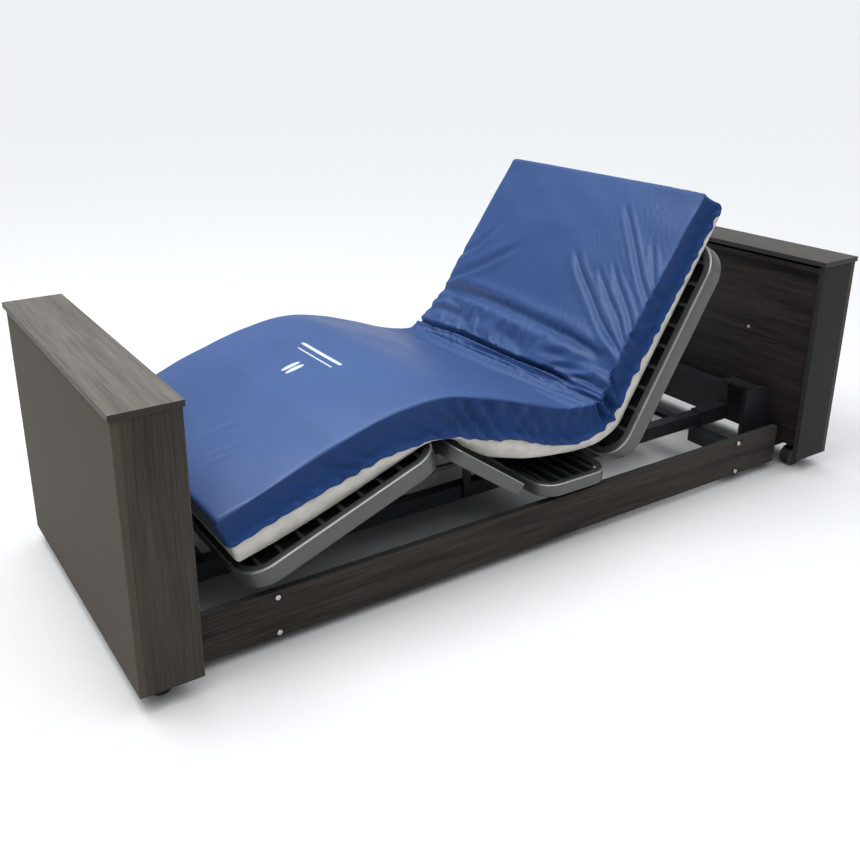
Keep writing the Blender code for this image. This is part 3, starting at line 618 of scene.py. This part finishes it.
def flat_places(piece):
    """Where each vertex lies on the flat mattress: u, y and t."""
    places = []
    for key in ("along", "across", "height"):
        values = np.empty(len(piece.data.vertices), np.float32)
        piece.data.attributes[key].data.foreach_get("value", values)
        places.append(values.astype(float))
    return places


def vectors(mesh, key):
    """Every vertex's "co" or "normal"."""
    values = np.empty(len(mesh.vertices) * 3, np.float32)
    mesh.vertices.foreach_get(key, values)
    return values.reshape(-1, 3).astype(float)


def move_to(piece, coords):
    piece.data.vertices.foreach_set("co", coords.astype(np.float32).ravel())
    piece.data.update()


COVER_STEP = 0.0085                     # size of the blue cover's faces
# one side of each cover as (y, t), lowest first
BLUE_SIDE = ([(0.438, HEM + 0.004), (0.446, HEM - 0.006), (0.4535, HEM), (0.4565, HEM + 0.022),
              (0.455, HEM + 0.055), (0.4515, HEM + 0.10), (0.4480, HEM + 0.16), (0.4450, HEM + 0.23),
              (0.4425, HEM + 0.31), (0.4415, HEM + 0.38), (0.4410, HEM + 0.45), (0.4415, HEM + 0.52),
              (0.4425, HEM + 0.575)]
             + rounded_corner(0.4345, 0.953, 0.0105, 0.047, 4, 0.0, pi / 2))
BEIGE_SIDE = (rounded_corner(0.398, 0.06, 0.014, 0.06, 4, -pi / 2, -0.35)
              + [(0.428, 0.14), (0.438, 0.22), (0.443, 0.29), (0.439, 0.35), (0.430, 0.41)])


def blue_cover():
    """The stretch cover's skin, down to its hem."""
    ring = ring_profile(BLUE_SIDE, 104, 8)
    stations = np.arange(FOOT_END, HEAD_END + COVER_STEP / 2, COVER_STEP * 0.85)
    return loft("mattress_cover", ring, stations, 0.016, 5)


def beige_cover():
    """The lower cover's skin, whose top is inside the blue one."""
    ring = ring_profile(BEIGE_SIDE, 24, 24)
    end_gap = 0.012
    stations = np.arange(FOOT_END + end_gap, HEAD_END - end_gap, 0.011)
    return loft("mattress_base", ring, stations, 0.010, 3)


# The folds of the cover: each one's way as (u, y), depth, half width of its valley and height of its lips
FOLDS = [
    ([(0.29, 0.45), (0.3, 0.325), (0.315, 0.195), (0.31, -0.035), (0.32, -0.235), (0.305, -0.36)],
     0.042, 0.0088, 0.007),
    ([(0.45, 0.445), (0.465, 0.275), (0.46, 0.095), (0.45, -0.065), (0.44, -0.22), (0.42, -0.35),
      (0.4, -0.445)], 0.014, 0.018, 0.008),
    ([(0.37, 0.45), (0.385, 0.33), (0.37, 0.17)], 0.007, 0.011, 0.003),
    ([(0.41, 0.45), (0.42, 0.36), (0.4, 0.22)], 0.006, 0.011, 0.003),
    ([(0.33, -0.26), (0.345, -0.36), (0.34, -0.45)], 0.012, 0.008, 0.005),
    ([(0.35, -0.2), (0.37, -0.33), (0.36, -0.45)], 0.011, 0.009, 0.006),
    ([(0.37, -0.12), (0.39, -0.3), (0.385, -0.45)], 0.010, 0.010, 0.005),
    ([(0.26, -0.28), (0.28, -0.38), (0.285, -0.45)], 0.010, 0.008, 0.005),
    ([(0.235, -0.2), (0.25, -0.34), (0.26, -0.45)], 0.009, 0.010, 0.005),
    ([(0.49, 0.45), (0.6, 0.27), (0.705, 0.14)], 0.008, 0.013, 0.004),
    ([(0.59, 0.45), (0.645, 0.38), (0.785, 0.3)], 0.006, 0.012, 0.003),
    ([(0.44, -0.45), (0.505, -0.35), (0.595, -0.225), (0.655, -0.145), (0.74, -0.07)],
     0.0115, 0.0105, 0.0032),
    ([(0.47, -0.45), (0.545, -0.38), (0.61, -0.29), (0.69, -0.2)], 0.0080, 0.009, 0.0026),
    ([(0.52, -0.45), (0.58, -0.395), (0.65, -0.31), (0.72, -0.25)], 0.0070, 0.009, 0.0024),
    ([(0.62, -0.45), (0.7, -0.37), (0.85, -0.26), (0.98, -0.17)], 0.0075, 0.0095, 0.0026),
    ([(0.655, -0.45), (0.74, -0.4), (0.86, -0.34)], 0.0040, 0.009, 0.0016),
    ([(0.225, 0.43), (0.23, 0.2), (0.22, -0.05), (0.24, -0.3)], 0.012, 0.012, 0.0065),
    ([(0.165, 0.4), (0.15, 0.15), (0.165, -0.12), (0.205, -0.37)], 0.009, 0.014, 0.0060),
    ([(0.08, 0.36), (0.075, 0.15), (0.095, -0.12), (0.13, -0.33)], 0.004, 0.024, 0.003),
    ([(0.12, -0.1), (0.15, -0.3), (0.175, -0.45)], 0.006, 0.013, 0.003),
    ([(0.06, -0.22), (0.095, -0.35), (0.115, -0.45)], 0.004, 0.014, 0.002),
    ([(0.255, 0.25), (0.27, 0.06), (0.26, -0.12), (0.275, -0.3)], 0.009, 0.011, 0.004),
    ([(-0.965, -0.07), (-0.875, -0.11), (-0.79, -0.15)], 0.0035, 0.009, 0.001),
    ([(-1, -0.17), (-0.925, -0.205), (-0.84, -0.24)], 0.0035, 0.009, 0.001),
    ([(-1.01, -0.2), (-0.93, -0.235), (-0.86, -0.26)], 0.0028, 0.009, 0.001),
]


SIDE_EDGE = 0.44                        # a fold that starts or ends beyond this y runs on over the side
FOLD_STEPS = 12                         # straight bits between two points of a fold's way


def follow(way, u, y):
    """Each point's signed distance from a smooth way, how far on along it that is, and the way's length."""
    smooth = curve_through(list(enumerate(way)))
    spans = len(way) - 1
    line = smooth(np.linspace(0, spans, FOLD_STEPS * spans + 1))
    lengths = np.linalg.norm(np.diff(line, axis=0), axis=1)
    passed = np.concatenate([[0], np.cumsum(lengths)])
    best = np.full(len(u), np.inf)
    side = np.zeros(len(u))
    along = np.zeros(len(u))
    for k, length in enumerate(lengths):
        a, d = line[k], line[k + 1] - line[k]
        s = np.clip(((u - a[0]) * d[0] + (y - a[1]) * d[1]) / (d @ d), 0, 1)
        du, dy = u - a[0] - s * d[0], y - a[1] - s * d[1]
        distance = np.hypot(du, dy)
        near = distance < best
        best[near] = distance[near]
        side[near] = np.sign(du * d[1] - dy * d[0])[near]
        along[near] = (passed[k] + s * length)[near]
    return best * np.where(side == 0, 1, side), along, passed[-1]


def fold_height(u, y):
    """Height of the sculpted folds at each point of the mattress's top."""
    height = np.zeros_like(u)
    for way, depth, width, lip in FOLDS:
        away, along, length = follow(way, u, y)
        reach = min(0.65 * length, 0.13)
        fade = np.ones_like(u)
        if abs(way[0][1]) <= SIDE_EDGE:
            fade *= smooth_step(along, 0.0, reach)
        if abs(way[-1][1]) <= SIDE_EDGE:
            fade *= smooth_step(length - along, 0.0, reach)
        fade *= 1 - 0.55 * smooth_step(y, 0.36, 0.45)
        valley = -depth * bell(away, 0.0, width)
        lips = lip * (bell(away, 2.1 * width, 1.1 * width) + 0.7 * bell(away, -2.1 * width, 1.3 * width))
        height += (valley + lips) * fade
    return height


def ripples(a, b, count, waves, slants):
    """Irregular waves over (a, b): sines of mixed length and slant, gathered into narrow creases."""
    total = np.zeros_like(a)
    for _ in range(count):
        number, slant = RNG.uniform(*waves), RNG.uniform(*slants)
        total += np.sin(number * (a + slant * b) + RNG.uniform(0, 2 * pi))
    total /= np.sqrt(count / 2)
    return np.sign(total) * np.abs(total) ** 1.2


def outwards(y, amount):
    """Moves by an amount away from the bed's middle line."""
    return np.column_stack([np.zeros_like(y), np.sign(y) * amount, np.zeros_like(y)])


def top_mask(t):
    return smooth_step(t, 0.72, 0.93)


def side_mask(y, t):
    return smooth_step(np.abs(y), 0.43, 0.441) * (1 - smooth_step(t, 0.88, 0.97))


CREASE = 0.33                           # u of the crease between the seat and the back
GATHER_HEIGHT, PULL_HEIGHT, PLEAT_HEIGHT = 0.0050, 0.0065, 0.011
SWELL_HEIGHT, CREASE_SWELL_HEIGHT, CRINKLE_HEIGHT = 0.0010, 0.0022, 0.0060


def sculpt(piece):
    """Lays in the main folds of the cover, and the gathers, pulls and pleats of its skirt and top."""
    u, y, t = flat_places(piece)
    outward = vectors(piece.data, "normal")
    folds = fold_height(u, np.clip(y, -0.45, 0.45)) * top_mask(t)
    coords = vectors(piece.data, "co") + outward * folds[:, None]

    hem_band = smooth_step(-t, -0.60, -0.44) * (0.35 + 0.65 * smooth_step(t, HEM, HEM + 0.08))
    above_hem = 0.2 + 0.8 * smooth_step(t, HEM, HEM + 0.16)
    knee_zone = bell(u, -0.20, 0.20) + 0.22
    crease_zone = bell(u, CREASE, 0.09)
    pulls = ripples(u, t * THICKNESS, 9, (70, 130), (0.25, 0.80))
    gathers = ripples(u, t * THICKNESS, 26, (60, 190), (0.5, 1.3))
    pleats = ripples(u, t * THICKNESS, 7, (90, 170), (-0.3, 0.3))
    drape = hem_band * GATHER_HEIGHT * gathers + PULL_HEIGHT * knee_zone * pulls
    drape += PLEAT_HEIGHT * crease_zone * pleats * above_hem
    deepest = np.where(t < 0.5, -0.006, -0.012)
    coords += outwards(y, side_mask(y, t) * np.maximum(drape, deepest))

    on_roof = smooth_step(t, 0.97, 0.999)
    swell = ripples(u, y * 0.6, 14, (8, 42), (-1.5, 1.5))
    coords += outward * (on_roof * (SWELL_HEIGHT + CREASE_SWELL_HEIGHT * crease_zone) * swell)[:, None]
    near_crease = on_roof * smooth_step(-y, 0.10, 0.42) * bell(u, 0.325, 0.075)
    crinkles = ripples(u, y * 0.35, 7, (80, 150), (-0.5, 0.2))
    coords += outward * (near_crease * CRINKLE_HEIGHT * crinkles)[:, None]
    move_to(piece, coords)


SLACK = 0.042                           # how much the cloth grows, as a share of its length
FREEDOM = 0.96                          # how loose the cover is where it may move most
SIM_FRAMES = 14
LARGEST_MOVE = 0.009                    # what the cloth's movement levels off at
CLOTH_SETTINGS = {"quality": 5, "mass": 0.3, "tension_stiffness": 25, "compression_stiffness": 25,
                  "shear_stiffness": 8, "bending_stiffness": 2.5, "pin_stiffness": 1.0, "shrink_min": -SLACK}


def held(piece):
    """How firmly each point of the cover is held: least round the crease, the knee's sides and the back."""
    u, y, t = flat_places(piece)
    free = (bell(u, CREASE, 0.16) * smooth_step(t, 0.40, 0.80)
            + 0.8 * bell(u, -0.15, 0.28) * smooth_step(t, 0.40, 0.60) * side_mask(y, t)
            + 0.5 * bell(u, 0.62, 0.30) * smooth_step(-y, 0.10, 0.40) * top_mask(t))
    crease_line = bell(u, 0.308, 0.026) * smooth_step(t, 0.90, 0.98)
    free *= 1 - 0.95 * crease_line
    return np.round(np.clip(1.0 - FREEDOM * free, 0, 1), 2)


def buckle(piece):
    """Cloth takes up the slack that the bend leaves in the cover, and the result is applied."""
    start = vectors(piece.data, "co")
    hold = held(piece)
    group = piece.vertex_groups.new(name="hold")
    for weight in np.unique(hold):
        group.add(np.flatnonzero(hold == weight).tolist(), float(weight), "REPLACE")
    cloth = piece.modifiers.new("cloth", "CLOTH")
    for key, value in CLOTH_SETTINGS.items():
        setattr(cloth.settings, key, value)
    cloth.settings.vertex_group_mass = group.name
    cloth.settings.effector_weights.gravity = 0
    cloth.collision_settings.use_collision = False
    cloth.collision_settings.use_self_collision = False
    cloth.point_cache.frame_start, cloth.point_cache.frame_end = 1, SIM_FRAMES
    scene = bpy.context.scene
    for step in range(1, SIM_FRAMES + 1):
        scene.frame_set(step)
    moved = vectors(piece.evaluated_get(bpy.context.evaluated_depsgraph_get()).data, "co") - start
    piece.modifiers.clear()
    piece.vertex_groups.clear()
    scene.frame_set(1)
    reach = np.linalg.norm(moved, axis=1)
    allowed = LARGEST_MOVE * np.tanh(reach / LARGEST_MOVE)
    moved *= (allowed / np.maximum(reach, 1e-9))[:, None]
    move_to(piece, start + moved)


def crease_sides(piece):
    """Slanting creases on the sides of the lower cover."""
    u, y, t = flat_places(piece)
    on_side = smooth_step(np.abs(y), 0.36, 0.42) * smooth_step(t, 0.0, 0.12)
    creases = ripples(u, t * THICKNESS, 16, (40, 150), (-1.6, 1.6))
    move_to(piece, vectors(piece.data, "co") + outwards(y, on_side * 0.0016 * creases))


# ---------------------------------------------------------------- the covers' materials
def flat_place(shader, key):
    """Where a point lies on the flat mattress: along, across or height."""
    return shader.node("ShaderNodeAttribute", attribute_name=key).outputs["Fac"]


def region(shader, key, start, end):
    """A mask that rises from 0 at start to 1 at end of a place on the mattress; across counts both ways."""
    place = flat_place(shader, key)
    if key == "across":
        place = shader.math("ABSOLUTE", place, 0.0)
    return shader.scale_range(place, 0.0, 1.0, start, end)


# a plain printed mark for the foot end: two bars and a pair of ovals (centre, half size, squareness)
MARK = (((-0.488, 0.010), (0.0060, 0.120), 6.0), ((-0.514, 0.000), (0.0025, 0.105), 6.0),
        ((-0.590, 0.000), (0.030, 0.0095), 2.2), ((-0.590, -0.026), (0.030, 0.0095), 2.2))


def mark_shape(shader, centre, half, squareness):
    """A mask for one rounded bar or oval of the printed mark."""
    parts = []
    for key, middle, reach in zip(("along", "across"), centre, half):
        away = shader.math("ABSOLUTE", shader.math("SUBTRACT", flat_place(shader, key), middle), 0.0)
        parts.append(shader.math("POWER", shader.math("DIVIDE", away, reach), squareness))
    return shader.scale_range(shader.math("ADD", *parts), 1.0, 0.0, 0.85, 1.15)


def printed_mark(shader):
    """A mask of the whole mark, on the top only."""
    first, *others = [mark_shape(shader, *shape) for shape in MARK]
    for shape in others:
        first = shader.math("MAXIMUM", first, shape)
    return shader.math("MULTIPLY", first, region(shader, "height", 0.95, 0.97))


def cover_blue():
    """Coated stretch fabric, with painted shade on its sides, its end face, a band at the foot and where it
    lies raised, and painted highlights on the gathered hem's crinkles.
    """
    shader = Shader("blue_stretch_cover", (0.030, 0.075, 0.220), 0.46, Sheen_Weight=0.05, Sheen_Roughness=0.5,
                    Specular_IOR_Level=0.42)
    cloud = shader.noise(shader.stretched((2.2, 2.2, 2.2)), detail=3)
    weave = shader.noise(shader.stretched((1500, 1500, 1500)), detail=1)
    crepe = shader.noise(shader.stretched((90, 160, 90)), detail=5, roughness=0.6)
    crinkle = shader.noise(shader.stretched((26, 26, 26)), detail=3)
    # painted shade: from the thigh on towards the head, where the cover lies raised, it is painted darker
    raised = region(shader, "along", -0.45, 0.05)
    # painted shade: a band at the foot end, next to the foot board, is painted slightly darker
    foot_shade_band = region(shader, "along", -0.69, -0.70)
    # painted shade: the foot's end face, in the gap before the foot board, is painted near black
    shaded_end_face = region(shader, "along", FOOT_END + 0.010, FOOT_END)
    # painted shade: the side panels are painted a darker blue than the top, as if they were lit less
    shaded_side_panel = shader.math("MULTIPLY", region(shader, "across", 0.434, 0.4405),
                             region(shader, "height", 0.985, 0.955))
    # painted highlight: on the gathered hem the painted side shade gives way to a lighter blue in
    # crinkle-shaped patches
    gathered = shader.math("MULTIPLY", shaded_side_panel, region(shader, "height", 0.49, 0.41))
    gathered = shader.math("MULTIPLY", gathered, shader.scale_range(crinkle, 0.25, 0.85, 0.35, 0.65))

    colour = shader.mix(shader.scale_range(cloud, 0.0, 1.0, 0.35, 0.65), (0.028, 0.071, 0.208),
                        (0.032, 0.080, 0.235))
    # each mask with its strength and tint: painted shade, then painted highlights on the gathered hem, then
    # the printed mark
    for mask, strength, tint in ((raised, 0.30, (0.014, 0.041, 0.128)),
                                 (foot_shade_band, 0.14, (0.012, 0.030, 0.100)),
                                 (shaded_side_panel, 0.95, (0.007, 0.034, 0.130)),
                                 (gathered, 1.0, (0.018, 0.056, 0.190)),
                                 (shaded_end_face, 0.75, (0.004, 0.010, 0.030)),
                                 (printed_mark(shader), 0.72, (0.75, 0.77, 0.80))):
        colour = shader.mix(shader.math("MULTIPLY", mask, strength), colour, tint)
    shader.feed(colour, "Base Color")
    gloss = shader.math("MULTIPLY", shader.scale_range(shaded_side_panel, 1.0, 0.30),
                        shader.scale_range(raised, 0.44, 0.30))
    shader.feed(gloss, "Specular IOR Level")
    shader.feed(shader.scale_range(cloud, 0.40, 0.52, 0.3, 0.7), "Roughness")
    shader.bump(weave, 0.10, 0.0003, shader.bump(crepe, 0.10, 0.0012))
    return shader.material


def cover_beige():
    """Uncoated lower cover, dark on its underside."""
    shader = Shader("grey_beige_under_cover", (0.50, 0.48, 0.44), 0.75)
    cloud = shader.noise(shader.stretched((12, 30, 12)), detail=4)
    weave = shader.noise(shader.stretched((700, 700, 700)), detail=2)
    dents = shader.noise(shader.stretched((38, 20, 30), (0, 0.7, 0)), detail=4)
    colour = shader.mix(shader.scale_range(cloud, 0.0, 1.0, 0.3, 0.7), (0.53, 0.51, 0.46),
                        (0.70, 0.675, 0.62))
    colour = shader.mix(region(shader, "height", 0.022, 0.012), colour, (0.008, 0.008, 0.009))
    shader.feed(colour, "Base Color")
    shader.bump(dents, 0.75, 0.006, shader.bump(weave, 0.25, 0.0005))
    return shader.material


# ---------------------------------------------------------------- cutting and bending the mattress
ACROSS_THIGH = Vector((0.9524, 0, -0.3048))  # halfway between the raised thigh's slope and level
ACROSS_SEAT = Vector((0.993, 0, 0.116))
ACROSS_CREASE = Vector((0.8686, 0, 0.4955))  # halfway between level and the raised back's slope
# the planes, each a point and a normal, where the mattress moves with the thigh or the deck alone
CUT_THIGH = (Vector((-0.145, 0, 0.538)), ACROSS_THIGH)
CUT_SEAT = (Vector((0.055, 0, 0.470)), ACROSS_SEAT)


def zone(centre, direction, before, after):
    """The two places between which a bend goes over from one body to the next."""
    unit = direction.normalized()
    return tuple(centre - unit * before), tuple(centre + unit * after)


# each length of the mattress: the bodies it joins, its bend's zone and the CAD blocks it stands for
LENGTHS = {
    "foot": ("calf", "thigh", zone(KNEE, ACROSS_THIGH, 0.22, 0.182), ("mattress_calf",)),
    "middle": ("thigh", "deck", zone(THIGH_HINGE, ACROSS_THIGH, 0.094, 0.094),
               ("mattress_thigh", "mattress_seat")),
    "head": ("deck", "back", zone(BACK_HINGE, ACROSS_CREASE, 0.10, 0.10), ("mattress_back",)),
}


def length_of(point):
    """The name of the length that a point of the mattress belongs to."""
    if (point - CUT_SEAT[0]).dot(CUT_SEAT[1]) > 0:
        return "head"
    return "middle" if (point - CUT_THIGH[0]).dot(CUT_THIGH[1]) > 0 else "foot"


def cut_out(whole, name, full_normals):
    """A copy of one length of the whole, closed at its cuts, that keeps the whole's shading."""
    piece = whole.copy()
    piece.data = whole.data.copy()
    piece.name = f"{whole.name}_{name}"
    bpy.context.collection.objects.link(piece)
    index = piece.data.attributes.new("source", "INT", "POINT")
    index.data.foreach_set("value", np.arange(len(piece.data.vertices), dtype=np.int32))
    work = bmesh.new()
    work.from_mesh(piece.data)
    others = [face for face in work.faces if length_of(face.calc_center_median()) != name]
    bmesh.ops.delete(work, geom=others, context="FACES")
    open_edges = [edge for edge in work.edges if len(edge.link_faces) == 1]
    bmesh.ops.edgeloop_fill(work, edges=open_edges)
    work.to_mesh(piece.data)
    work.free()
    piece.data.shade_smooth()
    source = np.empty(len(piece.data.vertices), np.int32)
    piece.data.attributes["source"].data.foreach_get("value", source)
    piece.data.normals_split_custom_set_from_vertices(full_normals[source].tolist())
    return piece


def split_for_joints(whole, finish):
    """Cuts the mattress where it moves with one body only, into one length for each joint."""
    work = bmesh.new()
    work.from_mesh(whole.data)
    for place, normal in (CUT_THIGH, CUT_SEAT):
        bmesh.ops.bisect_plane(work, geom=work.verts[:] + work.edges[:] + work.faces[:], plane_co=place,
                               plane_no=normal, dist=1e-5)
    work.to_mesh(whole.data)
    work.free()
    whole.data.update()
    full_normals = vectors(whole.data, "normal")
    for name, (body_a, body_b, (start, end), stands_for) in LENGTHS.items():
        piece = cut_out(whole, name, full_normals)
        piece.data.materials.clear()
        piece.data.materials.append(finish)
        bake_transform(piece)
        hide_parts(*stands_for)
    bpy.data.objects.remove(whole, do_unlink=True)


def mattress():
    """The blue cover over the beige one, both as three lengths."""
    cover = blue_cover()
    sculpt(cover)
    buckle(cover)
    split_for_joints(cover, cover_blue())
    under = beige_cover()
    crease_sides(under)
    split_for_joints(under, cover_beige())


mattress()


# ---------------------------------------------------------------- camera, light and floor
def camera():
    """A view from the near foot corner, level with the top of the raised back and looking down a little."""
    data = bpy.data.cameras.new("camera")
    data.lens = 40.9
    data.shift_x, data.shift_y = 0.0523, -0.0684
    eye = bpy.data.objects.new("camera", data)
    bpy.context.collection.objects.link(eye)
    eye.location = (-1.771, -2.399, 1.553)
    right, up = Vector((0.8490, -0.5283, -0.0062)), Vector((0.1874, 0.2901, 0.9385))
    eye.rotation_euler = Matrix((right, up, right.cross(up))).transposed().to_euler()
    bpy.context.scene.camera = eye


def overhead_lamp():
    """A square lamp above the foot end, which shades the mattress's folds and the bed's sides."""
    place, target = Vector((-1.9, 0.3, 4.6)), Vector((-0.6, 0.1, 0.4))
    data = bpy.data.lights.new("overhead", "AREA")
    data.size = 2.4
    data.energy = 105
    lamp = bpy.data.objects.new("overhead", data)
    bpy.context.collection.objects.link(lamp)
    lamp.location = place
    lamp.rotation_euler = (target - place).to_track_quat("-Z", "Y").to_euler()


HORIZON_LIGHT, WALL_LIGHT, CEILING_LIGHT = 0.90, 0.22, 2.0
# bands of the sky's height over which the light goes from one strength to another; they add up
SKY_BANDS = ((0.06, 0.22, HORIZON_LIGHT, WALL_LIGHT), (0.50, 0.85, 0.0, CEILING_LIGHT))


def sky():
    """A soft bright ceiling, dim walls and a pale horizon."""
    world = bpy.data.worlds.new("studio")
    bpy.context.scene.world = world
    world.use_nodes = True
    tree = world.node_tree
    background = tree.nodes["Background"]
    background.inputs["Color"].default_value = (0.95, 0.975, 1.0, 1.0)
    split = tree.nodes.new("ShaderNodeSeparateXYZ")
    tree.links.new(tree.nodes.new("ShaderNodeTexCoord").outputs["Generated"], split.inputs[0])
    total = tree.nodes.new("ShaderNodeMath")
    for term, (start, end, low, high) in zip(total.inputs, SKY_BANDS):
        band = tree.nodes.new("ShaderNodeMapRange")
        band.interpolation_type = "SMOOTHSTEP"
        for socket, value in (("From Min", start), ("From Max", end), ("To Min", low), ("To Max", high)):
            band.inputs[socket].default_value = value
        tree.links.new(split.outputs["Z"], band.inputs["Value"])
        tree.links.new(band.outputs["Result"], term)
    tree.links.new(total.outputs[0], background.inputs["Strength"])


def pale_floor():
    span = 60.0
    corners = [(-span, -span, 0), (span, -span, 0), (span, span, 0), (-span, span, 0)]
    finish = Shader("pale_floor", (0.70, 0.70, 0.70), 0.8, Specular_IOR_Level=0.1).material
    new_piece("floor", corners, [(0, 1, 2, 3)], (finish,))


camera()
overhead_lamp()
sky()
pale_floor()
bpy.context.scene.view_settings.view_transform = "Standard"
